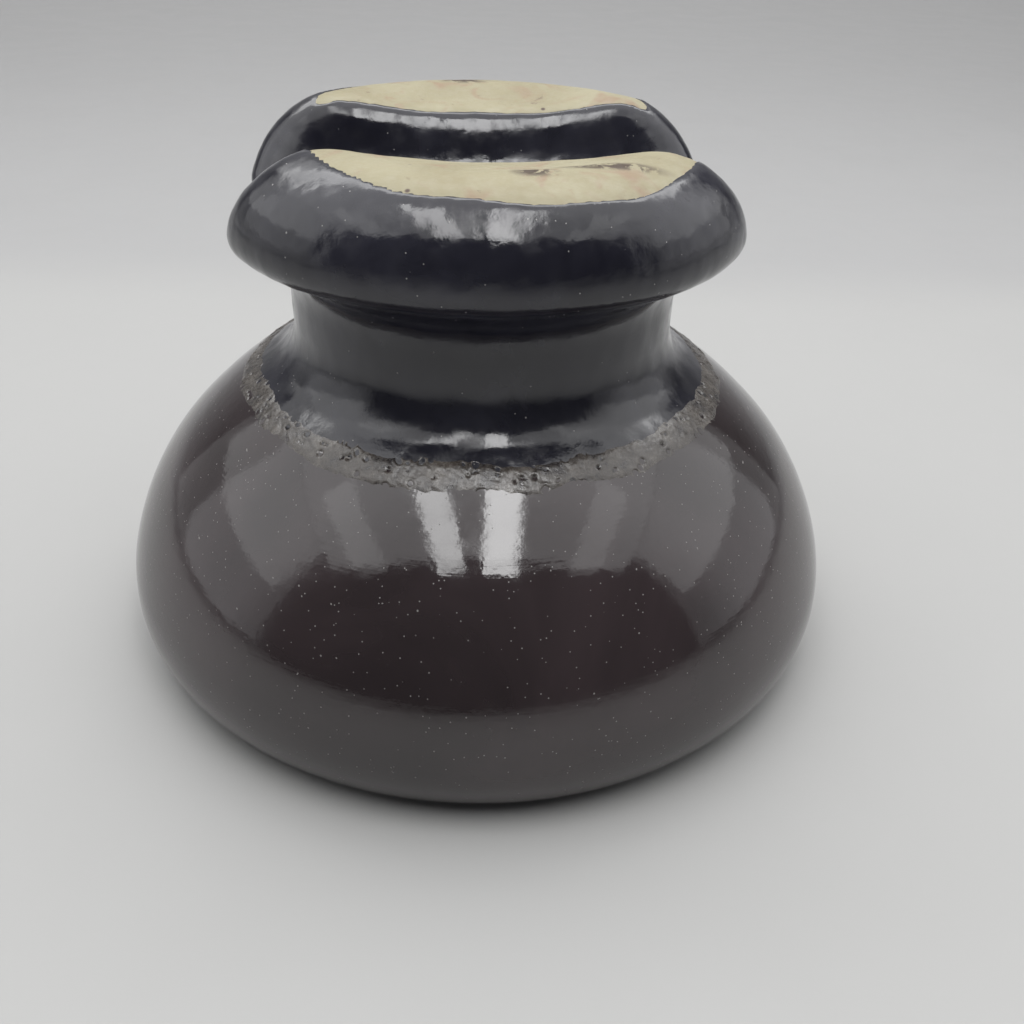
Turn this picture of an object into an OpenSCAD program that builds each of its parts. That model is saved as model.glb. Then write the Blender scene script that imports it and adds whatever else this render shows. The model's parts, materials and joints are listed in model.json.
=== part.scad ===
// Pin-type porcelain line insulator with a semiconductive head glaze, fired crown down.
// Frame: +Z up the axis of the pin hole, z = 0 on the lip, +X along the conductor groove.

/* [Bell] */
// Largest diameter of the bell skirt
bell_d = 140; // [135:0.5:145]
// Height from the lip to the crown's ridge
total_h = 98; // [97:0.2:100]
// Radius of the bell's turn from its widest circle in towards the lip
lip_turn_r = 16; // [14:0.5:17]
// Radius of the outer edge of the lip
lip_edge_r = 5.5; // [5:0.5:6.5]
// Width of the flat seat on the lip
seat_w = 3; // [2:0.5:4]

/* [Head] */
// Diameter of the head
head_d = 93.8; // [92:0.2:95]
// Diameter of the neck, where the tie wire lies
neck_d = 70; // [69:0.5:71]
// Radius of the tie-wire groove above and below the neck's straight land
tie_groove_r = 10; // [9.5:0.1:10.4]
// Radius of the rim's lower edge
rim_r = 5; // [4.4:0.1:5.6]
// Radius of the rounded shoulder from the rim's widest circle up to the crown's ridge
crown_shoulder_r = 14; // [12.5:0.5:15.5]
// Radius within which the crown carries no glaze
pad_r = 40.6; // [38:0.2:42]

/* [Conductor groove] */
// Radius of the conductor groove
groove_r = 14.3; // [13.5:0.1:14.5]
// Depth of the groove below the crown's ridge
groove_depth = 17.4; // [17.4:0.1:18.4]
// Radius of the groove's rounded upper edges
groove_edge_r = 3; // [2:0.2:3]

/* [Underside] */
// Radius of the bell's inner wall at the lip
bell_wall_r = 55; // [54.4:0.2:55.4]
// Radius of the bell's inner wall at the arch of the annular hollow
arch_wall_r = 52.4; // [51:0.2:53]
// Height where the arch over the annular hollow starts
arch_z = 30; // [27:0.5:31]
// Outer radius of the petticoat at the arch
petticoat_r = 32.8; // [32:0.2:34]
// Height of the petticoat's lower edge above the lip
petticoat_z = 7; // [5:0.5:12]
// Radius of the petticoat's mouth at its lower edge
mouth_r = 22; // [20:0.5:22.5]

/* [Pin hole] */
// Radius of the pin hole at the crests of its thread, for a 1 inch pin
pin_r = 12.7; // [12.5:0.1:13]
// Pitch of the pin thread, at four turns to the inch
thread_pitch = 6.35; // [6.2:0.05:6.4]
// Depth of the thread
thread_depth = 1.2; // [0.8:0.1:1.4]
// Number of thread rings
thread_rings = 6; // [4:1:6]
// Height of the lower end of the pin hole
pin_z = 24; // [22:0.5:25]
// Length of the pin hole, with its rounded blind end
pin_len = 45; // [44:0.5:46]

/* [Glaze] */
// Thickness of every glaze coat
glaze_t = 0.3; // [0.2:0.05:0.4]
// How far the rough overlap band stands proud of the coats beside it
band_proud = 0.2; // [0.1:0.05:0.3]

/* [Hidden] */
$fn = 96;
arc_step = 3.6; // degrees between the points of a profile's arc

bell_r = bell_d / 2;
neck_r = neck_d / 2;
head_r = head_d / 2;

// The bell's outside, upwards from its widest circle, is three arcs that flatten towards the neck.
lip_turn_a = -50;
belly_r = [24, 51, 86];
belly_a = [15, 45];
belly_z = lip_edge_r - (lip_turn_r - lip_edge_r) * sin(lip_turn_a);
belly_c0 = [bell_r - belly_r[0], belly_z];
belly_c1 = belly_c0 + (belly_r[0] - belly_r[1]) * unit(belly_a[0]);
belly_c2 = belly_c1 + (belly_r[1] - belly_r[2]) * unit(belly_a[1]);

// The shoulder's arc runs to the angle where a groove of tie_groove_r meets it and the neck.
neck_a = acos((neck_r + tie_groove_r - belly_c2[0]) / (belly_r[2] + tie_groove_r));
lower_groove_c = belly_c2 + (belly_r[2] + tie_groove_r) * unit(neck_a);
turn_c = [bell_r - lip_turn_r, belly_z];
lip_c = turn_c + (lip_turn_r - lip_edge_r) * unit(lip_turn_a);

// Head: rim's lower edge, shoulder arc over the ridge and a shallow dished crown, each tangent to the next.
rim_top_a = 2;
dish_a = 11; // how far the shoulder arc runs past the ridge, in towards the axis
shoulder_c = [head_r - rim_r + (rim_r - crown_shoulder_r) * cos(rim_top_a), total_h - crown_shoulder_r];
dish_edge = shoulder_c + crown_shoulder_r * unit(90 + dish_a);
dish_r = dish_edge[0] / sin(dish_a);
dish_c = [0, dish_edge[1] + dish_r * cos(dish_a)];
rim_c = shoulder_c + (crown_shoulder_r - rim_r) * unit(rim_top_a);
rim_low_a = -acos((neck_r + tie_groove_r - rim_c[0]) / (rim_r + tie_groove_r));
upper_groove_c = rim_c + (rim_r + tie_groove_r) * unit(rim_low_a);

// The band covers the shoulder arc between these two angles.
band_a = [53.3, 57.9];
pad_a = acos((pad_r - shoulder_c[0]) / crown_shoulder_r);

// Underside
arch_r = (arch_wall_r - petticoat_r) / 2;
arch_c = [petticoat_r + arch_r, arch_z];
seat_out = lip_c[0];
seat_in = seat_out - seat_w;
lip_in_r = seat_in - bell_wall_r;
petticoat_edge_r = 4.5;
petticoat_draft = 1.5;
petticoat_low_r = petticoat_r - petticoat_draft;
mouth_edge_r = 3;
mouth_end_a = -160;
throat_run = 3; // how far the mouth's cone stands outside the pin hole where they meet
groove_z = total_h - groove_depth + groove_r;
thread_arc_r = 2.4;
thread_lead = 3.4; // from the pin hole's lower end to the middle of its first ring
pin_end_r = 4;
far = 80;

function unit(a) = [cos(a), sin(a)];

// Points of an arc about c, from angle a0 to a1, both ends included.
function arc(c, r, a0, a1) =
    let (n = max(2, ceil(abs(a1 - a0) / arc_step)))
    [for (i = [0 : n]) c + r * unit(a0 + (a1 - a0) * i / n)];

// Outer profile, t below the glazed surface, as lists of points in order from the crown down to the lip.
// Concave arcs grow by t where the convex ones shrink by it.
function crown_line(t) = arc(dish_c, dish_r + t, -90, dish_a - 90);
function pad_shoulder_line(t) = arc(shoulder_c, crown_shoulder_r - t, 90 + dish_a, pad_a);
function head_line(t) = concat(
    arc(shoulder_c, crown_shoulder_r - t, pad_a, rim_top_a),
    arc(rim_c, rim_r - t, rim_top_a, rim_low_a),
    arc(upper_groove_c, tie_groove_r + t, rim_low_a + 180, 180),
    arc(lower_groove_c, tie_groove_r + t, 180, 180 + neck_a),
    arc(belly_c2, belly_r[2] - t, neck_a, band_a[1]));
function band_line(t) = arc(belly_c2, belly_r[2] - t, band_a[1], band_a[0]);
function skirt_line(t) = concat(
    arc(belly_c2, belly_r[2] - t, band_a[0], belly_a[1]),
    arc(belly_c1, belly_r[1] - t, belly_a[1], belly_a[0]),
    arc(belly_c0, belly_r[0] - t, belly_a[0], 0),
    arc(turn_c, lip_turn_r - t, 0, lip_turn_a),
    arc(lip_c, lip_edge_r - t, lip_turn_a, -90));

// Underside profile, t above the glazed surface, from the lip's seat to the pin hole's lower end.
function underside_line(t) = concat(
    arc([seat_in, lip_in_r], lip_in_r - t, -90, -180),
    arc(arch_c, arch_r + t, 0, 180),
    arc([petticoat_low_r - petticoat_edge_r, petticoat_z + petticoat_edge_r],
        petticoat_edge_r - t, 0, -90),
    arc([mouth_r + mouth_edge_r, petticoat_z + mouth_edge_r], mouth_edge_r - t, -90, mouth_end_a),
    [[pin_r + throat_run + t, pin_z - 1], [pin_r + t, pin_z]]);

// The pin hole's half section, wall pushed out by t, with rounded rings for its thread.
module pin_hole_section(t) {
    intersection() {
        union() {
            translate([0, pin_z]) square([pin_r + t, pin_len - pin_end_r]);
            translate([0, pin_z]) square([pin_r - pin_end_r, pin_len + t]);
            translate([pin_r - pin_end_r, pin_z + pin_len - pin_end_r]) circle(pin_end_r + t);
            for (i = [0 : thread_rings - 1])
                translate([pin_r + thread_depth - thread_arc_r, pin_z + thread_lead + i * thread_pitch])
                    circle(thread_arc_r + t);
        }
        translate([0, pin_z]) square([far, far]);
    }
}

// The groove's cutter along X: a half round with straight sides that turn outwards up to the ridge.
module groove_cutter(t) {
    edge_z = total_h - groove_edge_r;
    rotate([90, 0, 90])
        linear_extrude(height = 2 * far, center = true)
            difference() {
                union() {
                    translate([0, groove_z]) circle(groove_r + t);
                    translate([-groove_r - groove_edge_r, edge_z])
                        square([2 * (groove_r + groove_edge_r), far]);
                    translate([-groove_r - t, groove_z]) square([2 * (groove_r + t), far]);
                }
                for (s = [-1, 1])
                    translate([s * (groove_r + groove_edge_r), edge_z])
                        circle(groove_edge_r - t);
            }
}

// A coat's ring: the polygon between a profile and the same profile t lower.
module coat(upper, lower) {
    rotate_extrude() polygon(concat(upper, reverse(lower)));
}

function reverse(v) = [for (i = [len(v) - 1 : -1 : 0]) v[i]];

// The porcelain's outline: bare on the pads and the seat, under the coats everywhere else.
module porcelain_outline() {
    polygon(concat(
        crown_line(0), pad_shoulder_line(0),
        head_line(glaze_t), band_line(glaze_t), skirt_line(glaze_t),
        [[seat_out, 0], [seat_in, 0]],
        underside_line(glaze_t),
        [[0, pin_z]]));
}

module porcelain_body() {
    color([0.87, 0.83, 0.70])
        difference() {
            rotate_extrude()
                difference() {
                    porcelain_outline();
                    pin_hole_section(glaze_t);
                }
            groove_cutter(glaze_t);
        }
}

module head_glaze() {
    color([0.10, 0.10, 0.13]) {
        difference() {
            coat(head_line(0), head_line(glaze_t));
            groove_cutter(0);
        }
        intersection() {
            difference() {
                groove_cutter(glaze_t);
                groove_cutter(0);
            }
            rotate_extrude() porcelain_outline();
        }
    }
}

module skirt_glaze() {
    color([0.14, 0.11, 0.11]) coat(skirt_line(0), skirt_line(glaze_t));
}

module glaze_overlap_band() {
    color([0.33, 0.30, 0.27]) coat(band_line(-band_proud), band_line(glaze_t));
}

module underside_glaze() {
    color([0.25, 0.15, 0.10]) coat(underside_line(0), underside_line(glaze_t));
}

module pin_hole_glaze() {
    color([0.20, 0.19, 0.20])
        rotate_extrude()
            difference() {
                pin_hole_section(glaze_t);
                pin_hole_section(0);
            }
}

porcelain_body();
head_glaze();
skirt_glaze();
glaze_overlap_band();
underside_glaze();
pin_hole_glaze();
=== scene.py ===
"""Looks of a pin-type porcelain insulator: bare porcelain under five coats, built around the CAD frame.

Lengths in the profile and mesh functions are millimetres; make_piece() turns them into metres.
"""

import json
import math

import bpy
import numpy as np
from mathutils import Matrix, Vector

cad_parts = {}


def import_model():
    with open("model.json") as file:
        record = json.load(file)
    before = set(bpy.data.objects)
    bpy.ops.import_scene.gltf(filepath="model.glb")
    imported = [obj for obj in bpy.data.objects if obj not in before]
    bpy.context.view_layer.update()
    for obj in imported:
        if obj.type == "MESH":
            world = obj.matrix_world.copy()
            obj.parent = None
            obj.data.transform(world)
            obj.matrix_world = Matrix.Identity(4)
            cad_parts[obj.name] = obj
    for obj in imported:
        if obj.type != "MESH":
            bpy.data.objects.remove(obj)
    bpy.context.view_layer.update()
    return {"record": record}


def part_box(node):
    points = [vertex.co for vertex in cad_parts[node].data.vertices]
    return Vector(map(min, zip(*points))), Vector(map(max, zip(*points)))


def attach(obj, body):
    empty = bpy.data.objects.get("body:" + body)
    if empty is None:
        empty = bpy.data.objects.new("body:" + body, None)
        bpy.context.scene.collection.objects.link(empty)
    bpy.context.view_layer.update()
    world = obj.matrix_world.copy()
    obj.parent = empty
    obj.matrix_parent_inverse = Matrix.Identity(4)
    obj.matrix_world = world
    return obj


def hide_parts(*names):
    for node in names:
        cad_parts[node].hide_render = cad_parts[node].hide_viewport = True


MM = 0.001
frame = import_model()
mounts = {m["name"]: m for m in frame["record"]["mounts"]}


def node_size(node):
    """Size of a CAD node's box along X, Y and Z, in millimetres."""
    low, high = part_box(node)
    return [(high[i] - low[i]) / MM for i in range(3)]


# Driving sizes that the frame holds
BELL_R = node_size("skirt_glaze")[0] / 2
HEAD_R = node_size("head_glaze")[1] / 2
TOTAL_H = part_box("porcelain_body")[1][2] / MM
NECK_R = mounts["tie_wire_neck"]["dims"]["r_mm"]
GROOVE_R = mounts["conductor_groove"]["dims"]["r_mm"]
GROOVE_Z = mounts["conductor_groove"]["pos_m"][2] / MM
PIN_R = mounts["pin_hole"]["dims"]["r_mm"]
PIN_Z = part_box("pin_hole_glaze")[0][2] / MM
PIN_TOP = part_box("pin_hole_glaze")[1][2] / MM

# Outside profile
LIP_TURN_R = 16.0
LIP_EDGE_R = 5.5
LIP_TURN_A = -50.0
SEAT_W = 3.0
BELLY_R = (24.0, 51.0, 86.0)
BELLY_A = (15.0, 45.0)
TIE_GROOVE_R = 10.0
RIM_R = 5.0
RIM_TOP_A = 2.0
SHOULDER_R = 14.0
DISH_A = 11.0
BAND_A = (53.3, 57.9)

# Underside profile
BELL_WALL_R = 55.0
ARCH_WALL_R = 52.4
ARCH_Z = 30.0
PETTICOAT_R = 32.8
PETTICOAT_Z = 7.0
PETTICOAT_EDGE_R = 4.5
PETTICOAT_DRAFT = 1.5
MOUTH_R = 22.0
MOUTH_EDGE_R = 3.0
MOUTH_END_A = -160.0
THROAT_RUN = 3.0

# Meshes: spacing of the nets, and the overlap band's mean radius
BODY_CELL = 1.06
COAT_CELL = 0.72
BAND_MEAN_R = 44

# Coats
COAT_T = 0.25
BAND_PROUD = 0.2
GROOVE_SOFTNESS = (5.6, 12.0)  # along the lobes and at their ends
THREAD_PITCH = 6.35
THREAD_DEPTH = 1.2


# ---------------------------------------------------------------- profile


def unit(angle):
    return np.array([math.cos(math.radians(angle)), math.sin(math.radians(angle))])


def arc(centre, radius, start, end, step):
    """Points of an arc, both ends included, no more than step millimetres apart."""
    length = abs(math.radians(end - start)) * radius
    count = max(2, math.ceil(length / step))
    return [np.array(centre) + radius * unit(start + (end - start) * i / count) for i in range(count + 1)]


def joined(*runs):
    """Runs of points end to end, without the points they share."""
    points = [runs[0][0]]
    for run in runs:
        points += [p for p in run if np.hypot(*(p - points[-1])) > 1e-6]
    return np.array(points)


class Outline:
    """Arc centres of the turned profile, worked out from the driving sizes."""

    belly_z = LIP_EDGE_R - (LIP_TURN_R - LIP_EDGE_R) * unit(LIP_TURN_A)[1]
    belly_0 = np.array([BELL_R - BELLY_R[0], belly_z])
    belly_1 = belly_0 + (BELLY_R[0] - BELLY_R[1]) * unit(BELLY_A[0])
    belly_2 = belly_1 + (BELLY_R[1] - BELLY_R[2]) * unit(BELLY_A[1])
    turn = np.array([BELL_R - LIP_TURN_R, belly_z])
    lip = turn + (LIP_TURN_R - LIP_EDGE_R) * unit(LIP_TURN_A)
    neck_a = math.degrees(math.acos((NECK_R + TIE_GROOVE_R - belly_2[0]) / (BELLY_R[2] + TIE_GROOVE_R)))
    lower_groove = belly_2 + (BELLY_R[2] + TIE_GROOVE_R) * unit(neck_a)
    shoulder = np.array([HEAD_R - RIM_R + (RIM_R - SHOULDER_R) * unit(RIM_TOP_A)[0], TOTAL_H - SHOULDER_R])
    dish_edge = shoulder + SHOULDER_R * unit(90 + DISH_A)
    dish_r = dish_edge[0] / math.sin(math.radians(DISH_A))
    dish = np.array([0.0, dish_edge[1] + dish_r * math.cos(math.radians(DISH_A))])
    rim = shoulder + (SHOULDER_R - RIM_R) * unit(RIM_TOP_A)
    rim_low_a = -math.degrees(math.acos((NECK_R + TIE_GROOVE_R - rim[0]) / (RIM_R + TIE_GROOVE_R)))
    upper_groove = rim + (RIM_R + TIE_GROOVE_R) * unit(rim_low_a)
    arch_r = (ARCH_WALL_R - PETTICOAT_R) / 2
    arch = np.array([PETTICOAT_R + arch_r, ARCH_Z])
    seat_out = lip[0]
    seat_in = seat_out - SEAT_W


def head_run(depth, step):
    """From the axis over the dished crown, ridge, rim and neck down to the band's top."""
    o = Outline
    return joined(
        arc(o.dish, o.dish_r + depth, -90, DISH_A - 90, step),
        arc(o.shoulder, SHOULDER_R - depth, 90 + DISH_A, RIM_TOP_A, step),
        arc(o.rim, RIM_R - depth, RIM_TOP_A, o.rim_low_a, step),
        arc(o.upper_groove, TIE_GROOVE_R + depth, o.rim_low_a + 180, 180, step),
        arc(o.lower_groove, TIE_GROOVE_R + depth, 180, 180 + o.neck_a, step),
        arc(o.belly_2, BELLY_R[2] - depth, o.neck_a, BAND_A[1], step),
    )


def skirt_run(depth, step, top_a=BAND_A[1]):
    """From the band down over the bell to the lip."""
    o = Outline
    return joined(
        arc(o.belly_2, BELLY_R[2] - depth, top_a, BELLY_A[1], step),
        arc(o.belly_1, BELLY_R[1] - depth, BELLY_A[1], BELLY_A[0], step),
        arc(o.belly_0, BELLY_R[0] - depth, BELLY_A[0], 0, step),
        arc(o.turn, LIP_TURN_R - depth, 0, LIP_TURN_A, step),
        arc(o.lip, LIP_EDGE_R - depth, LIP_TURN_A, -90, step),
    )


def underside_run(depth, step):
    """From the lip's seat over the arch and petticoat to the pin hole's lower end."""
    o = Outline
    lip_in_r = o.seat_in - BELL_WALL_R
    edge = [PETTICOAT_R - PETTICOAT_DRAFT - PETTICOAT_EDGE_R, PETTICOAT_Z + PETTICOAT_EDGE_R]
    mouth = [MOUTH_R + MOUTH_EDGE_R, PETTICOAT_Z + MOUTH_EDGE_R]
    throat = [np.array([PIN_R + THROAT_RUN + depth, PIN_Z - 1]), np.array([PIN_R + depth, PIN_Z])]
    return joined(
        arc([o.seat_in, lip_in_r], lip_in_r - depth, -90, -180, step / 3),
        arc(o.arch, o.arch_r + depth, 0, 180, step),
        arc(edge, PETTICOAT_EDGE_R - depth, 0, -90, step / 2),
        arc(mouth, MOUTH_EDGE_R - depth, -90, MOUTH_END_A, step / 3),
        throat,
    )


# ---------------------------------------------------------------- distance fields


class SectionField:
    """Signed distance to a closed half section in (radius, height), negative inside, from a fine table."""

    def __init__(self, polygon, cell=0.25, low_z=-6.0, high_z=108.0, far_r=76.0):
        self.cell, self.low_z = cell, low_z
        r = np.arange(0, far_r, cell)
        z = np.arange(low_z, high_z, cell)
        rr, zz = np.meshgrid(r, z, indexing="ij")
        px, pz = rr.ravel(), zz.ravel()
        best = np.full(px.shape, 1e9)
        inside = np.zeros(px.shape, bool)
        for a, b in zip(polygon, np.roll(polygon, -1, axis=0)):
            if np.allclose(a, b):
                continue
            crosses = (a[1] > pz) != (b[1] > pz)
            if abs(b[1] - a[1]) > 1e-12:
                at = a[0] + (pz - a[1]) * (b[0] - a[0]) / (b[1] - a[1])
                inside ^= crosses & (px < at)
            if a[0] < 1e-6 and b[0] < 1e-6:
                continue  # the axis is not a surface
            d = b - a
            t = np.clip(((px - a[0]) * d[0] + (pz - a[1]) * d[1]) / (d @ d), 0, 1)
            best = np.minimum(best, np.hypot(px - a[0] - t * d[0], pz - a[1] - t * d[1]))
        self.table = np.where(inside, -best, best).reshape(rr.shape)

    def __call__(self, radius, height):
        u = np.clip(radius / self.cell, 0, self.table.shape[0] - 1.001)
        v = np.clip((height - self.low_z) / self.cell, 0, self.table.shape[1] - 1.001)
        i, j = u.astype(int), v.astype(int)
        fu, fv = u - i, v - j
        t = self.table
        return (
            t[i, j] * (1 - fu) * (1 - fv)
            + t[i + 1, j] * fu * (1 - fv)
            + t[i, j + 1] * (1 - fu) * fv
            + t[i + 1, j + 1] * fu * fv
        )


def groove_distance(y, z):
    """Signed distance to the conductor groove's open trough along X, negative inside it."""
    below = np.hypot(y, z - GROOVE_Z) - GROOVE_R
    above = np.abs(y) - GROOVE_R
    return np.where(z < GROOVE_Z, below, above)


def smooth_max(a, b, softness):
    """The larger of two distances, with the crease between them rounded."""
    h = np.maximum(softness - np.abs(a - b), 0) / softness
    return np.maximum(a, b) + h * h * softness / 4


def body_field(section, groove_depth=0.0):
    """Field of the turned body with its groove, which lies groove_depth below the glazed surface."""

    def field(p):
        turned = section(np.hypot(p[..., 0], p[..., 1]), p[..., 2])
        groove = groove_depth - groove_distance(p[..., 1], p[..., 2])
        middle, end = GROOVE_SOFTNESS
        softness = middle + (end - middle) * step_between(np.abs(p[..., 0]), 22.0, 38.0)
        return smooth_max(turned, groove, softness)

    return field


def gradient(field, p, step=0.2):
    """Unit gradient of a field at points, by central differences."""
    g = np.empty_like(p)
    for axis in range(3):
        offset = np.zeros(3)
        offset[axis] = step
        g[:, axis] = field(p + offset) - field(p - offset)
    return g / np.maximum(np.linalg.norm(g, axis=1, keepdims=True), 1e-9)


def surface_net(field, low, high, step):
    """Vertices and quads on a field's zero surface, one vertex to a grid cell that the surface crosses."""
    axes = [np.arange(low[i], high[i] + step, step) for i in range(3)]
    grid = np.stack(np.meshgrid(*axes, indexing="ij"), -1)
    value = np.stack([field(layer) for layer in grid])
    cells = np.array(value.shape) - 1
    total = np.zeros((cells.prod(), 3))
    count = np.zeros(cells.prod())
    quads = []
    stride = np.array([cells[1] * cells[2], cells[2], 1])
    for axis in range(3):
        a = np.take(value, range(value.shape[axis] - 1), axis)
        b = np.take(value, range(1, value.shape[axis]), axis)
        index = np.argwhere((a < 0) != (b < 0))
        va, vb = a[tuple(index.T)], b[tuple(index.T)]
        point = index.astype(float)
        point[:, axis] += va / (va - vb)
        p, q = [i for i in range(3) if i != axis]
        inner = (index[:, p] > 0) & (index[:, q] > 0) & (index[:, p] < cells[p]) & (index[:, q] < cells[q])
        index, point, va = index[inner], point[inner], va[inner]
        around = []
        for dp, dq in ((1, 1), (0, 1), (0, 0), (1, 0)):
            cell = index.copy()
            cell[:, p] -= dp
            cell[:, q] -= dq
            flat = cell @ stride
            around.append(flat)
            count += np.bincount(flat, minlength=len(count))
            for k in range(3):
                total[:, k] += np.bincount(flat, point[:, k], minlength=len(count))
        quad = np.stack(around, 1)
        flip = (va < 0) == (axis == 1)
        quad[flip] = quad[flip][:, ::-1]
        quads.append(quad)
    used = np.flatnonzero(count)
    number = np.full(len(count), -1)
    number[used] = np.arange(len(used))
    vertices = total[used] / count[used, None] * step + np.array([a[0] for a in axes])
    return vertices, number[np.concatenate(quads)]


def relaxed(vertices, quads, field, passes=4):
    """Evens out a net's vertices, then puts them back on the surface."""
    ends = np.concatenate([quads[:, [i, (i + 1) % 4]] for i in range(4)])
    ends = np.concatenate([ends, ends[:, ::-1]])
    degree = np.maximum(np.bincount(ends[:, 0], minlength=len(vertices)), 1)
    for _ in range(passes):
        mean = np.stack(
            [np.bincount(ends[:, 0], vertices[ends[:, 1], k], minlength=len(vertices)) for k in range(3)], 1
        )
        vertices = vertices + 0.5 * (mean / degree[:, None] - vertices)
        for _ in range(2):
            normal = gradient(field, vertices)
            vertices = vertices - normal * np.clip(field(vertices), -0.5, 0.5)[:, None]
    return vertices


# ---------------------------------------------------------------- surface variation


def waves(seed, count, low, high, p):
    """Smooth noise of about -1 to 1: seeded sine waves, with wavelengths from low to high."""
    rng = np.random.default_rng(seed)
    total = np.zeros(p.shape[:-1])
    for _ in range(count):
        way = rng.normal(size=p.shape[-1])
        way /= np.linalg.norm(way)
        length = math.exp(rng.uniform(math.log(low), math.log(high)))
        total += np.sin(2 * math.pi * (p @ way) / length + rng.uniform(0, 2 * math.pi))
    return total / math.sqrt(count / 2) / 1.6


def step_between(x, low, high):
    """0 below low, 1 above high, smooth between."""
    t = np.clip((x - low) / (high - low), 0, 1)
    return t * t * (3 - 2 * t)


# Bare pads, in millimetres: each is a circle cut off along the groove
PAD_R = 33.1
PAD_CENTRE = ((2.0, -7.5), (0.9, 7.5))  # front and back pad
PAD_EDGE_Y = (15.8, 17.2)


def pad_depth(p):
    """How far inside a bare pad a point lies, negative outside. The pads have hand-wiped edges."""
    front = p[:, 1:2] < 0
    flat = p[:, :2] - np.where(front, PAD_CENTRE[0], PAD_CENTRE[1])
    angle = np.arctan2(flat[:, 1], flat[:, 0])
    ring = np.stack([np.cos(angle), np.sin(angle)], 1) * PAD_R
    chipped = 1 - step_between(flat[:, 0], -26, -14)
    edge_r = PAD_R + 0.45 * waves(11, 7, 14, 45, ring) + (0.03 + 0.22 * chipped) * waves(12, 9, 1.5, 4, ring)
    inner_y = np.where(front[:, 0], PAD_EDGE_Y[0], PAD_EDGE_Y[1])
    inner_y = inner_y + 0.35 * waves(13, 5, 20, 60, p[:, :1] + 90 * np.sign(p[:, 1:2]))
    inner_y += (0.03 + 0.12 * chipped) * waves(14, 7, 1.5, 5, p[:, :1])
    from_rim = edge_r - np.hypot(flat[:, 0], flat[:, 1])
    from_groove = np.abs(p[:, 1]) - inner_y
    inside = -smooth_max(-from_rim, -from_groove, 2.2)
    return np.where(p[:, 2] > TOTAL_H - 14, inside, -5)


# ---------------------------------------------------------------- mesh building


def make_piece(name, vertices, faces, node):
    """A smooth-shaded mesh object in metres that stands for one CAD node."""
    mesh = bpy.data.meshes.new(name)
    mesh.from_pydata((np.asarray(vertices) * MM).tolist(), [], [list(map(int, f)) for f in faces])
    mesh.validate()
    mesh.shade_smooth()
    piece = bpy.data.objects.new(name, mesh)
    bpy.context.scene.collection.objects.link(piece)
    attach(piece, "root")
    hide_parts(node)
    return piece


def revolved(loop, segments, shape=None):
    """A closed shell: a loop of (radius, height) points turned about Z. shape may move the points."""
    turn = np.linspace(0, 2 * math.pi, segments, endpoint=False)
    n = len(loop)
    r = np.repeat(loop[None, :, 0], segments, 0)
    z = np.repeat(loop[None, :, 1], segments, 0)
    if shape is not None:
        r, z = shape(r, z, turn[:, None])
    vertices = np.stack([r * np.cos(turn)[:, None], r * np.sin(turn)[:, None], z], -1).reshape(-1, 3)
    i, j = np.meshgrid(np.arange(segments), np.arange(n), indexing="ij")
    i2, j2 = (i + 1) % segments, (j + 1) % n
    quads = np.stack([i * n + j, i * n + j2, i2 * n + j2, i2 * n + j], -1).reshape(-1, 4)
    return vertices, quads


def without_strays(vertices, faces):
    """Drops the vertices that no face uses."""
    used, renumbered = np.unique(np.asarray(faces), return_inverse=True)
    return vertices[used], renumbered.reshape(np.asarray(faces).shape)


def boundary_edges(quads):
    """Directed edges that only one quad uses."""
    edges = np.concatenate([quads[:, [i, (i + 1) % 4]] for i in range(4)])
    keys = {}
    for a, b in edges.tolist():
        keys[(a, b)] = True
    return np.array([e for e in keys if (e[1], e[0]) not in keys])


def thickened(vertices, quads, normals, depth):
    """Closes an open sheet into a shell with an inner surface that lies depth below it."""
    n = len(vertices)
    inner = vertices - normals * depth
    rim = boundary_edges(quads)
    walls = np.stack([rim[:, 1], rim[:, 0], rim[:, 0] + n, rim[:, 1] + n], 1)
    return np.concatenate([vertices, inner]), np.concatenate([quads, quads[:, ::-1] + n, walls])


# ---------------------------------------------------------------- pieces


def porcelain_piece():
    """The fired body: one closed net with the groove, the annular hollow and the pin hole."""
    step = 0.5
    bore_r = PIN_R + THREAD_DEPTH + 0.4
    section = np.concatenate(
        [
            head_run(COAT_T, step),
            skirt_run(COAT_T, step)[1:],
            [[Outline.seat_out, 0.0], [Outline.seat_in, 0.0]],
            underside_run(COAT_T, step)[:-1],
            [[bore_r, PIN_Z - 0.3], [bore_r, PIN_TOP + 0.4], [0.0, PIN_TOP + 0.4]],
        ]
    )
    field = body_field(SectionField(section), COAT_T)
    reach = BELL_R + 2.5
    vertices, quads = surface_net(field, (-reach, -reach, -2.6), (reach, reach, TOTAL_H + 2.5), BODY_CELL)
    vertices = relaxed(vertices, quads, field, passes=3)
    pad = step_between(pad_depth(vertices), 0.5, 3.0)
    uneven = 0.05 * waves(21, 16, 3, 12, vertices) - 0.05
    vertices += gradient(field, vertices) * (uneven * pad)[:, None]
    vertices[:, 2] = np.maximum(vertices[:, 2], 0.0)
    return make_piece("porcelain_body_fired", vertices, quads, "porcelain_body")


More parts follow.
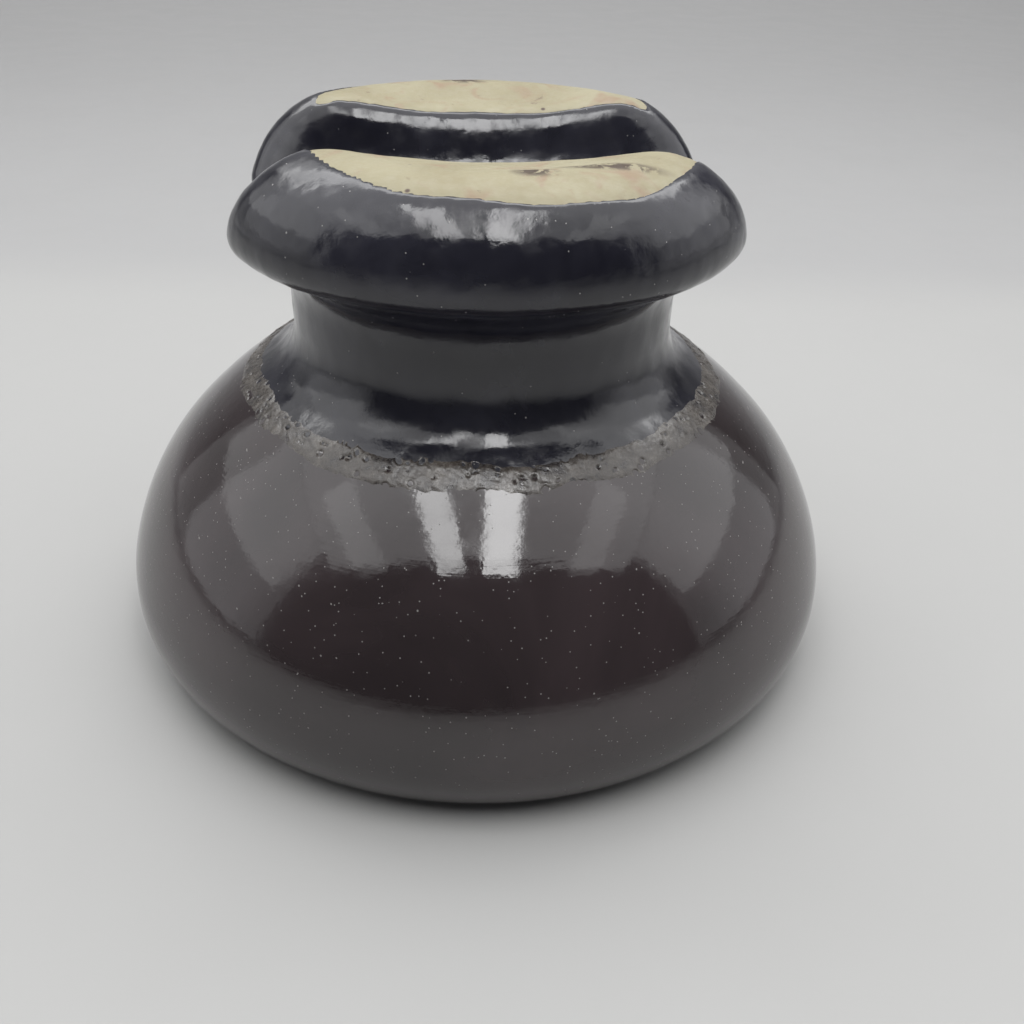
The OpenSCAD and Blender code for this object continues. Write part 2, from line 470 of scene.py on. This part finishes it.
def head_glaze_piece():
    """The coat on head, groove and neck, with windows over the two pads and a slightly uneven surface."""
    outer = np.concatenate([head_run(0, 0.5), skirt_run(0, 0.5)[1:], [[0.0, 0.0]]])
    field = body_field(SectionField(outer))
    cut_z = Outline.belly_2[1] + BELLY_R[2] * unit(sum(BAND_A) / 2)[1]
    reach = HEAD_R + 2.5
    low, high = (-reach, -reach, cut_z - 1.5), (reach, reach, TOTAL_H + 2.5)
    vertices, quads = surface_net(field, low, high, COAT_CELL)
    vertices = relaxed(vertices, quads, field)
    normal = gradient(field, vertices)
    depth = pad_depth(vertices)
    rim_zone = step_between(vertices[:, 2], 78, 86) * (1 - step_between(vertices[:, 2], 97, 99.5))
    uneven = 0.035 * waves(31, 18, 4, 14, vertices) + 0.02 * waves(32, 14, 1.8, 4, vertices) * rim_zone
    roll = 0.03 * np.exp(-(((depth + 1.3) / 0.9) ** 2))
    move = np.minimum(uneven + roll - 0.06, 0.04) * (1 - step_between(depth, -0.3, 0.4))
    move -= 0.6 * step_between(depth, -0.25, 0.35)
    inside = (vertices[:, 2] > cut_z) & (depth < 1.6)
    keep = inside[quads].all(1)
    vertices = vertices + normal * move[:, None]
    sheet, faces = without_strays(np.concatenate([vertices, normal], 1), quads[keep])
    shell, faces = thickened(sheet[:, :3], faces, sheet[:, 3:], 0.2)
    return make_piece("head_glaze_coat", shell, faces, "head_glaze")


def skirt_glaze_piece():
    """The coat on the bell, turned, with the slight unevenness of a hand-dipped glaze."""
    top = sum(BAND_A) / 2
    outer = skirt_run(0, 0.85, top)
    inner = skirt_run(0.22, 4.0, top)[::-1]

    def shape(r, z, turn):
        p = np.stack([r * np.cos(turn), r * np.sin(turn), z], -1)
        free = step_between(z, 0.5, 6)
        move = (0.03 * waves(41, 16, 12, 45, p) - 0.05) * free
        return r + move, z

    vertices, quads = revolved(np.concatenate([outer, inner]), 400, shape)
    return make_piece("skirt_glaze_coat", vertices, quads, "skirt_glaze")


def band_piece():
    """The rough ring where the two coats run over each other: ragged edges, grains and burst bubbles."""
    around, across = 900, 30
    turn = np.linspace(0, 2 * math.pi, around, endpoint=False)
    u = np.linspace(0, 1, across)
    tt, uu = np.meshgrid(turn, u, indexing="ij")
    ring = np.stack([np.cos(tt), np.sin(tt)], -1) * BAND_MEAN_R
    top = BAND_A[1] + 0.2 + 0.5 * waves(51, 7, 12, 60, ring) + 0.14 * waves(52, 12, 2, 7, ring)
    low = BAND_A[0] - 0.2 + 0.45 * waves(53, 7, 12, 60, ring) + 0.14 * waves(54, 12, 2, 7, ring)
    angle = np.radians(top + (low - top) * uu)
    edge = np.minimum(uu, 1 - uu)
    plateau = step_between(edge, 0.0, 0.34)
    place = np.stack([ring[..., 0] * angle, ring[..., 1] * angle, BELLY_R[2] * angle], -1)
    grain = 0.5 + 0.5 * waves(55, 26, 0.9, 2.6, place)
    swell = 0.5 + 0.5 * waves(56, 12, 4, 11, place)
    height = -0.22 + plateau * (0.24 + 0.07 * grain + 0.12 * swell)
    rng = np.random.default_rng(57)
    for _ in range(230):
        at, where, size = rng.uniform(0, 2 * math.pi), rng.uniform(0.12, 0.88), rng.uniform(0.25, 0.75)
        du = (uu - where) * math.radians(BAND_A[1] - BAND_A[0]) * BELLY_R[2]
        dt = (np.remainder(tt - at + math.pi, 2 * math.pi) - math.pi) * BAND_MEAN_R
        far = np.hypot(du, dt) / size
        crater = 0.07 * np.exp(-(((far - 1.15) / 0.3) ** 2)) - 0.30 * np.exp(-((far / 0.75) ** 4))
        height += np.where(far < 2.2, crater, 0)
    height = np.clip(height, -0.35, BAND_PROUD)
    outside = BELLY_R[2] + height
    inside = BELLY_R[2] - 0.4 + 0 * height
    centre = Outline.belly_2
    layers = []
    for radius, order in ((outside, slice(None)), (inside, slice(None, None, -1))):
        r = centre[0] + radius * np.cos(angle)
        z = centre[1] + radius * np.sin(angle)
        layers.append(np.stack([r * np.cos(tt), r * np.sin(tt), z], -1)[:, order])
    loop = np.concatenate(layers, 1)
    n = loop.shape[1]
    i, j = np.meshgrid(np.arange(around), np.arange(n), indexing="ij")
    i2, j2 = (i + 1) % around, (j + 1) % n
    quads = np.stack([i * n + j, i * n + j2, i2 * n + j2, i2 * n + j], -1).reshape(-1, 4)
    vertices = loop.reshape(-1, 3)
    return make_piece("glaze_overlap_ring", vertices, quads, "glaze_overlap_band")


def underside_piece():
    """The coat inside the bell and over the petticoat."""
    outer = underside_run(0, 1.4)[::-1]
    inner = underside_run(0.22, 4.0)

    def shape(r, z, turn):
        p = np.stack([r * np.cos(turn), r * np.sin(turn), z], -1)
        return r, z + (0.12 * waves(61, 12, 10, 40, p) + 0.12) * step_between(z, 3, 10) * 0.5

    vertices, quads = revolved(np.concatenate([inner, outer]), 300, shape)
    return make_piece("underside_glaze_coat", vertices, quads, "underside_glaze")


def pin_hole_piece():
    """The lining of the pin hole: a right-hand thread of four turns to the inch and a rounded blind end."""
    segments, per_turn = 144, 22
    end_r = 4.0
    straight_top = PIN_TOP - end_r - 0.3
    z = np.arange(PIN_Z, straight_top, THREAD_PITCH / per_turn)
    z = np.append(z, straight_top)
    turn = np.linspace(0, 2 * math.pi, segments, endpoint=False)
    zz, tt = np.meshgrid(z, turn)
    phase = (zz - PIN_Z) / THREAD_PITCH - tt / (2 * math.pi)
    ease = step_between(zz, PIN_Z + 1, PIN_Z + 4)
    ease = ease * (1 - step_between(zz, straight_top - 6, straight_top - 2))
    r = PIN_R + THREAD_DEPTH * ease * (0.5 + 0.5 * np.cos(2 * math.pi * phase)) ** 0.8
    cap = np.array(arc([0, 0], end_r, 0, 90, 0.8))[1:]
    cap_r = PIN_R - end_r + cap[:, 0]
    cap_z = straight_top + cap[:, 1]
    flat_r = np.linspace(PIN_R - end_r, 0.8, 6)[1:]
    cap_r = np.concatenate([cap_r, flat_r])
    cap_z = np.concatenate([cap_z, np.full(len(flat_r), straight_top + end_r)])
    out_r = PIN_R + THREAD_DEPTH + 0.3
    back_r = np.array([0.8, out_r, out_r])
    back_z = np.array([PIN_TOP, PIN_TOP, PIN_Z])
    extra_r = np.concatenate([cap_r, back_r])
    extra_z = np.concatenate([cap_z, back_z])
    r = np.concatenate([r, np.repeat(extra_r[None], segments, 0)], 1)
    zz = np.concatenate([zz, np.repeat(extra_z[None], segments, 0)], 1)
    n = r.shape[1]
    vertices = np.stack([r * np.cos(turn)[:, None], r * np.sin(turn)[:, None], zz], -1).reshape(-1, 3)
    i, j = np.meshgrid(np.arange(segments), np.arange(n), indexing="ij")
    i2, j2 = (i + 1) % segments, (j + 1) % n
    ring_end = len(z) + len(cap_r) - 1
    keep = j != ring_end
    quads = np.stack([i * n + j, i2 * n + j, i2 * n + j2, i * n + j2], -1)[keep]
    low_centre, high_centre = len(vertices), len(vertices) + 1
    vertices = np.concatenate([vertices, [[0, 0, straight_top + end_r], [0, 0, PIN_TOP]]])
    s = np.arange(segments)
    s2 = (s + 1) % segments
    lids = [[a * n + ring_end, b * n + ring_end, low_centre] for a, b in zip(s, s2)]
    lids += [[b * n + ring_end + 1, a * n + ring_end + 1, high_centre] for a, b in zip(s, s2)]
    faces = quads.tolist() + lids
    return make_piece("pin_hole_thread_lining", vertices, faces, "pin_hole_glaze")


# ---------------------------------------------------------------- materials


class Nodes:
    """Short names for the node calls that the materials share."""

    def __init__(self, name):
        self.material = bpy.data.materials.new(name)
        self.material.use_nodes = True
        self.tree = self.material.node_tree
        self.shader = self.tree.nodes["Principled BSDF"]
        self.place = self.new("ShaderNodeTexCoord").outputs["Object"]

    def new(self, kind, **settings):
        node = self.tree.nodes.new(kind)
        for key, value in settings.items():
            setattr(node, key, value)
        return node

    def link(self, source, target):
        self.tree.links.new(source, target)

    def scaled(self, x, y, z, turn=(0, 0, 0)):
        """Object position with its axes stretched and turned."""
        node = self.new("ShaderNodeMapping")
        node.inputs["Scale"].default_value = (x, y, z)
        node.inputs["Rotation"].default_value = turn
        self.link(self.place, node.inputs["Vector"])
        return node.outputs["Vector"]

    def noise(self, scale, detail=3.0, roughness=0.55, distortion=0.0, place=None):
        node = self.new("ShaderNodeTexNoise")
        node.inputs["Scale"].default_value = scale
        node.inputs["Detail"].default_value = detail
        node.inputs["Roughness"].default_value = roughness
        node.inputs["Distortion"].default_value = distortion
        self.link(place or self.place, node.inputs["Vector"])
        return node.outputs["Fac"]

    def cells(self, scale, place=None, feature="F1", randomness=1.0):
        node = self.new("ShaderNodeTexVoronoi", feature=feature)
        node.inputs["Scale"].default_value = scale
        node.inputs["Randomness"].default_value = randomness
        self.link(place or self.place, node.inputs["Vector"])
        return node

    def ramp(self, value, *stops, smooth=True):
        """Maps a value through (position, grey or colour) stops."""
        node = self.new("ShaderNodeValToRGB")
        band = node.color_ramp
        band.interpolation = "EASE" if smooth else "LINEAR"
        while len(band.elements) < len(stops):
            band.elements.new(0.5)
        for element, (position, colour) in zip(band.elements, stops):
            element.position = position
            grey = isinstance(colour, (int, float))
            element.color = (colour, colour, colour, 1) if grey else (*colour, 1)
        self.link(value, node.inputs["Fac"])
        return node.outputs["Color"]

    def math(self, operation, a, b=0.0, clamp=False):
        node = self.new("ShaderNodeMath", operation=operation, use_clamp=clamp)
        for socket, value in zip(node.inputs, (a, b)):
            if isinstance(value, (int, float)):
                socket.default_value = value
            else:
                self.link(value, socket)
        return node.outputs[0]

    def mix(self, factor, a, b):
        """Mixes two colours."""
        node = self.new("ShaderNodeMix", data_type="RGBA")
        self.link(factor, node.inputs["Factor"])
        for key, value in (("A", a), ("B", b)):
            socket = [s for s in node.inputs if s.name == key and s.type == "RGBA"][0]
            if isinstance(value, tuple):
                socket.default_value = (*value, 1)
            else:
                self.link(value, socket)
        return [s for s in node.outputs if s.type == "RGBA"][0]

    def height(self, z_low, z_high):
        """0 at z_low, 1 at z_high, in metres, in the object's own frame."""
        split = self.new("ShaderNodeSeparateXYZ")
        self.link(self.place, split.inputs[0])
        node = self.new("ShaderNodeMapRange", interpolation_type="SMOOTHSTEP")
        self.link(split.outputs["Z"], node.inputs["Value"])
        node.inputs["From Min"].default_value = z_low
        node.inputs["From Max"].default_value = z_high
        return node.outputs["Result"]

    def near(self, centre, reach):
        """1 at a point given in millimetres, 0 beyond its reach along each axis."""
        node = self.new("ShaderNodeMapping", vector_type="TEXTURE")
        node.inputs["Location"].default_value = [c * MM for c in centre]
        node.inputs["Scale"].default_value = [r * MM for r in reach]
        self.link(self.place, node.inputs["Vector"])
        length = self.new("ShaderNodeVectorMath", operation="LENGTH")
        self.link(node.outputs["Vector"], length.inputs[0])
        return self.ramp(length.outputs["Value"], (0.3, 1), (1.0, 0))

    def bump(self, height, distance, strength=1.0, below=None):
        node = self.new("ShaderNodeBump")
        node.inputs["Distance"].default_value = distance
        node.inputs["Strength"].default_value = strength
        self.link(height, node.inputs["Height"])
        if below is not None:
            self.link(below, node.inputs["Normal"])
        return node.outputs["Normal"]

    def finish(self, colour, roughness, normal):
        self.link(colour, self.shader.inputs["Base Color"])
        self.link(roughness, self.shader.inputs["Roughness"])
        self.link(normal, self.shader.inputs["Normal"])
        return self.material


def dust_and_pit_shade(nodes, scale, size, share=0.18):
    """Small dots at a share of the cells' centres: white dust specks, and on the overlap band painted shade
    of pits.
    """
    cell = nodes.cells(scale)
    dot = nodes.ramp(cell.outputs["Distance"], (size * 0.6, 1), (size, 0))
    chosen = nodes.ramp(cell.outputs["Color"], (1 - share, 0), (1.02 - share, 1))
    return nodes.math("MULTIPLY", dot, chosen)


def fibres(nodes, turn, scale):
    """Short pale fibres: cells drawn out along one direction."""
    place = nodes.scaled(1.0, 0.10, 1.0, turn)
    cell = nodes.cells(scale, place)
    dot = nodes.ramp(cell.outputs["Distance"], (0.035, 1), (0.065, 0))
    chosen = nodes.ramp(cell.outputs["Color"], (0.56, 0), (0.60, 1))
    return nodes.math("MULTIPLY", dot, chosen)


def blue_black_glaze():
    n = Nodes("blue_black_glaze")
    cloud = n.noise(55, 4, 0.6, 0.4)
    colour = n.ramp(cloud, (0.3, (0.010, 0.010, 0.016)), (0.7, (0.026, 0.026, 0.036)))
    speck = n.math("MAXIMUM", dust_and_pit_shade(n, 420, 0.09), dust_and_pit_shade(n, 900, 0.12, 0.25))
    colour = n.mix(n.math("MULTIPLY", speck, 0.6), colour, (0.45, 0.44, 0.42))
    rough = n.ramp(n.noise(300, 3, 0.6), (0.35, 0.10), (0.7, 0.24))
    peel = n.bump(n.noise(420, 3, 0.5), 0.00006, 0.8)
    fine = n.bump(n.noise(1700, 2, 0.5), 0.000014, 0.7, peel)
    n.shader.inputs["IOR"].default_value = 1.62
    return n.finish(colour, rough, fine)


def brown_black_glaze():
    n = Nodes("brown_black_glaze")
    cloud = n.noise(28, 4, 0.55, 0.6)
    colour = n.ramp(cloud, (0.3, (0.024, 0.018, 0.019)), (0.7, (0.042, 0.031, 0.033)))
    rings = n.noise(60, 3, 0.6, 0.0, n.scaled(0.25, 0.25, 14.0))
    speck = n.math("MAXIMUM", dust_and_pit_shade(n, 480, 0.075, 0.12), dust_and_pit_shade(n, 1100, 0.15, 0.4))
    hair = n.math("MAXIMUM", fibres(n, (0.5, 0.3, 0.9), 420), fibres(n, (1.2, 1.9, 0.2), 380))
    speck = n.math("MAXIMUM", speck, hair)
    colour = n.mix(n.math("MULTIPLY", speck, 0.42), colour, (0.50, 0.49, 0.47))
    rough = n.ramp(n.noise(240, 3, 0.6), (0.3, 0.055), (0.75, 0.13))
    rough = n.math("MAXIMUM", rough, n.math("MULTIPLY", speck, 0.7))
    turned = n.bump(rings, 0.00004, 0.4)
    peel = n.bump(n.noise(650, 2, 0.5), 0.000025, 0.7, turned)
    n.shader.inputs["IOR"].default_value = 1.7
    return n.finish(colour, rough, peel)


def rough_overlap():
    n = Nodes("rough_overlap")
    blotch = n.noise(230, 5, 0.65)
    grain = n.noise(1500, 4, 0.7)
    mixed = n.math("ADD", n.math("MULTIPLY", blotch, 0.75), n.math("MULTIPLY", grain, 0.25))
    colour = n.ramp(
        mixed, (0.38, (0.024, 0.020, 0.020)), (0.50, (0.060, 0.051, 0.044)), (0.64, (0.120, 0.106, 0.092))
    )
    # Painted shade: near-black dots stand in for the shade inside the band's pits.
    colour = n.mix(dust_and_pit_shade(n, 420, 0.30, 0.25), colour, (0.008, 0.006, 0.006))
    rough = n.ramp(grain, (0.35, 0.20), (0.7, 0.42))
    lumps = n.bump(blotch, 0.00022, 0.6)
    fine = n.bump(grain, 0.00007, 0.8, lumps)
    n.shader.inputs["IOR"].default_value = 1.7
    return n.finish(colour, rough, fine)


# Where grit from the kiln shelf stuck to the pads: centre and reach, in millimetres
KILN_MARKS = (
    ((5.0, -31.5, 97.5), (4.5, 3.2, 9.0)),
    ((17.0, -28.5, 97.5), (11.0, 2.2, 9.0)),
    ((-2.0, 33.5, 97.5), (6.0, 3.0, 9.0)),
)


def bare_porcelain():
    n = Nodes("bare_porcelain")
    cloud = n.noise(70, 4, 0.55, 0.5)
    colour = n.ramp(cloud, (0.3, (0.30, 0.265, 0.165)), (0.72, (0.36, 0.33, 0.22)))
    blush = n.ramp(n.noise(105, 3, 0.6, 1.2), (0.52, 0), (0.70, 0.8))
    colour = n.mix(blush, colour, (0.30, 0.21, 0.14))
    stain = n.ramp(n.noise(190, 5, 0.7, 0.8), (0.63, 0), (0.73, 0.8))
    colour = n.mix(stain, colour, (0.15, 0.10, 0.065))
    kiln_marks = n.ramp(n.noise(420, 4, 0.7, 0.6), (0.40, 0), (0.50, 0.95))
    for spot_at, size in KILN_MARKS:
        near = n.math("MULTIPLY", n.near(spot_at, size), kiln_marks)
        colour = n.mix(near, colour, (0.055, 0.034, 0.022))
    spot = n.cells(330)
    dots = n.ramp(spot.outputs["Distance"], (0.10, 1), (0.20, 0))
    chosen = n.ramp(spot.outputs["Color"], (0.80, 0), (0.83, 1))
    colour = n.mix(n.math("MULTIPLY", dots, chosen), colour, (0.07, 0.04, 0.03))
    rough = n.ramp(n.noise(500, 3, 0.6), (0.3, 0.42), (0.7, 0.68))
    lumps = n.bump(n.noise(260, 4, 0.6), 0.0002, 0.5)
    fine = n.bump(n.noise(2400, 3, 0.6), 0.00004, 0.8, lumps)
    return n.finish(colour, rough, fine)


def brown_glaze():
    n = Nodes("brown_glaze")
    cloud = n.noise(45, 4, 0.6, 0.5)
    colour = n.ramp(cloud, (0.3, (0.030, 0.014, 0.009)), (0.7, (0.085, 0.040, 0.022)))
    # Lighter brown up to 2 mm above the lip, blending into the usual colour by 12 mm height.
    away_from_lip = n.height(0.002, 0.012)
    colour = n.mix(away_from_lip, (0.10, 0.052, 0.030), colour)
    speck = dust_and_pit_shade(n, 380, 0.09)
    colour = n.mix(speck, colour, (0.45, 0.42, 0.38))
    rough = n.ramp(n.noise(260, 3, 0.6), (0.35, 0.09), (0.7, 0.26))
    peel = n.bump(n.noise(480, 3, 0.5), 0.00007, 0.8)
    n.shader.inputs["IOR"].default_value = 1.6
    return n.finish(colour, rough, peel)


def dull_grey_glaze():
    n = Nodes("dull_grey_glaze")
    cloud = n.noise(140, 4, 0.6, 0.4)
    colour = n.ramp(cloud, (0.3, (0.040, 0.038, 0.040)), (0.7, (0.110, 0.105, 0.105)))
    rough = n.ramp(n.noise(700, 3, 0.6), (0.3, 0.35), (0.7, 0.6))
    grit = n.bump(n.noise(1500, 3, 0.6), 0.00008, 0.8)
    return n.finish(colour, rough, grit)


# ---------------------------------------------------------------- stage


TENT_TURN = 4.0  # how far camera and lights are turned about Z from the conductor groove


def floor():
    """A pale table that a backdrop curves up from, far behind the object."""
    table_r, bend_y, bend_r, wall_h = 3.0, 0.9, 0.5, 2.2
    line = [(-table_r, 0.0), (bend_y, 0.0)]
    for i in range(1, 17):
        a = math.radians(90 * i / 16)
        line.append((bend_y + bend_r * math.sin(a), bend_r * (1 - math.cos(a))))
    line.append((bend_y + bend_r, wall_h))
    vertices = [(x, y, z) for y, z in line for x in (-table_r, table_r)]
    faces = [(2 * i, 2 * i + 1, 2 * i + 3, 2 * i + 2) for i in range(len(line) - 1)]
    mesh = bpy.data.meshes.new("table")
    mesh.from_pydata(vertices, [], faces)
    mesh.shade_smooth()
    table = bpy.data.objects.new("table", mesh)
    bpy.context.scene.collection.objects.link(table)
    n = Nodes("pale_table")
    split = n.new("ShaderNodeSeparateXYZ")
    n.link(n.scaled(1, 1, 1, (0, 0, math.radians(TENT_TURN))), split.inputs[0])
    # Painted shade: the table's colour darkens from about 0.16 to 0.22 m behind the object, standing in for
    # the light falling off there.
    behind = n.new("ShaderNodeMapRange", interpolation_type="SMOOTHSTEP")
    n.link(split.outputs["Y"], behind.inputs["Value"])
    behind.inputs["From Min"].default_value = 0.155
    behind.inputs["From Max"].default_value = 0.215
    colour = n.mix(behind.outputs["Result"], (0.455, 0.455, 0.448), (0.42, 0.42, 0.42))
    rough = n.ramp(n.noise(30, 3), (0.3, 0.55), (0.7, 0.7))
    n.shader.inputs["Specular IOR Level"].default_value = 0.25
    table.data.materials.append(n.finish(colour, rough, n.bump(n.noise(900, 2), 0.00003, 0.3)))


def panel(name, centre, size, aim, power, colour=(1.0, 1.0, 1.0)):
    """A rectangular studio light that the camera itself does not see."""
    data = bpy.data.lights.new(name, "AREA")
    data.shape = "RECTANGLE"
    data.size, data.size_y = size
    data.energy = power * size[0] * size[1] * math.pi
    data.color = colour
    light = bpy.data.objects.new(name, data)
    light.visible_camera = False
    light.location = centre
    light.rotation_euler = (Vector(centre) - Vector(aim)).to_track_quat("Z", "Y").to_euler()
    bpy.context.scene.collection.objects.link(light)
    return light


def lights():
    """A light tent: strips and a soft ceiling above, pale side walls, and an open, dim front."""
    ceiling_z = 0.42
    made = []
    strips = (
        ("strip_left", -0.088, 10.0, 0.066, 4.6),
        ("strip_right", 0.048, 0.0, 0.078, 6.6),
        ("dim_strip_left", -0.30, 10.0, 0.10, 0.55),
        ("dim_strip_right", 0.28, -6.0, 0.09, 0.5),
    )
    for name, x, turn, width, power in strips:
        strip = panel(name, (x, -0.195, ceiling_z), (width, 0.27), (x, -0.195, 0), power)
        strip.rotation_euler = (0, 0, math.radians(turn))
        made.append(strip)
    ceiling = panel("ceiling", (0, 0.06, ceiling_z + 0.01), (0.86, 0.72), (0, 0.06, 0), 1.0)
    ceiling.rotation_euler = (0, 0, 0)
    made.append(ceiling)
    made.append(panel("backdrop_light", (0, 0.85, 1.2), (2.4, 0.8), (0, 1.1, 0.3), 2.6))
    for side in (-1, 1):
        made.append(panel("side_wall", (side * 0.45, 0.04, 0.31), (0.50, 0.22), (0, 0.04, 0.12), 0.62))
        made.append(panel("side_glow", (side * 0.47, 0.04, 0.22), (0.56, 0.40), (0, 0.04, 0.12), 0.28))
    turned = Matrix.Rotation(math.radians(-TENT_TURN), 4, "Z")
    bpy.context.view_layer.update()
    for light in made:
        light.matrix_world = turned @ light.matrix_world


def world():
    """Pale surroundings all round, dim in front where the tent is open."""
    scene = bpy.context.scene
    scene.world = bpy.data.worlds.new("surroundings")
    scene.world.use_nodes = True
    tree = scene.world.node_tree
    background = tree.nodes["Background"]
    place = tree.nodes.new("ShaderNodeTexCoord")
    split = tree.nodes.new("ShaderNodeSeparateXYZ")
    tree.links.new(place.outputs["Generated"], split.inputs[0])
    ramp = tree.nodes.new("ShaderNodeValToRGB")
    span = tree.nodes.new("ShaderNodeMapRange")
    span.inputs["From Min"].default_value = -1
    span.inputs["From Max"].default_value = 1
    tree.links.new(split.outputs["Y"], span.inputs["Value"])
    tree.links.new(span.outputs["Result"], ramp.inputs["Fac"])
    ramp.color_ramp.interpolation = "EASE"
    ramp.color_ramp.elements[0].position = 0.28
    ramp.color_ramp.elements[0].color = (0.05, 0.05, 0.055, 1)
    ramp.color_ramp.elements[1].position = 0.48
    ramp.color_ramp.elements[1].color = (0.50, 0.50, 0.51, 1)
    tree.links.new(ramp.outputs["Color"], background.inputs["Color"])


def camera():
    """The camera's place, fitted to the object's outline: 33 degrees down, close, with a wide lens."""
    place = Vector((0.0, -0.18488, 0.13887))
    pitch, yaw, roll, turn = (math.radians(a) for a in (33.13, 2.08, 1.93, TENT_TURN))
    forward = Vector((math.sin(yaw) * math.cos(pitch), math.cos(yaw) * math.cos(pitch), -math.sin(pitch)))
    right = Vector((math.cos(yaw), -math.sin(yaw), 0.0))
    up = right.cross(forward)
    rolled_right = math.cos(roll) * right + math.sin(roll) * up
    rolled_up = -math.sin(roll) * right + math.cos(roll) * up
    data = bpy.data.cameras.new("camera")
    data.sensor_width = 36.0
    data.lens = 36.62
    data.clip_start = 0.01
    data.clip_end = 20.0
    cam = bpy.data.objects.new("camera", data)
    basis = Matrix((rolled_right, rolled_up, -forward)).transposed()
    cam.matrix_world = Matrix.Rotation(-turn, 4, "Z") @ Matrix.Translation(place) @ basis.to_4x4()
    bpy.context.scene.collection.objects.link(cam)
    bpy.context.scene.camera = cam


camera()
floor()
lights()
world()
bpy.context.scene.view_settings.view_transform = "Standard"
for build, material in (
    (porcelain_piece, bare_porcelain),
    (head_glaze_piece, blue_black_glaze),
    (skirt_glaze_piece, brown_black_glaze),
    (band_piece, rough_overlap),
    (underside_piece, brown_glaze),
    (pin_hole_piece, dull_grey_glaze),
):
    build().data.materials.append(material())
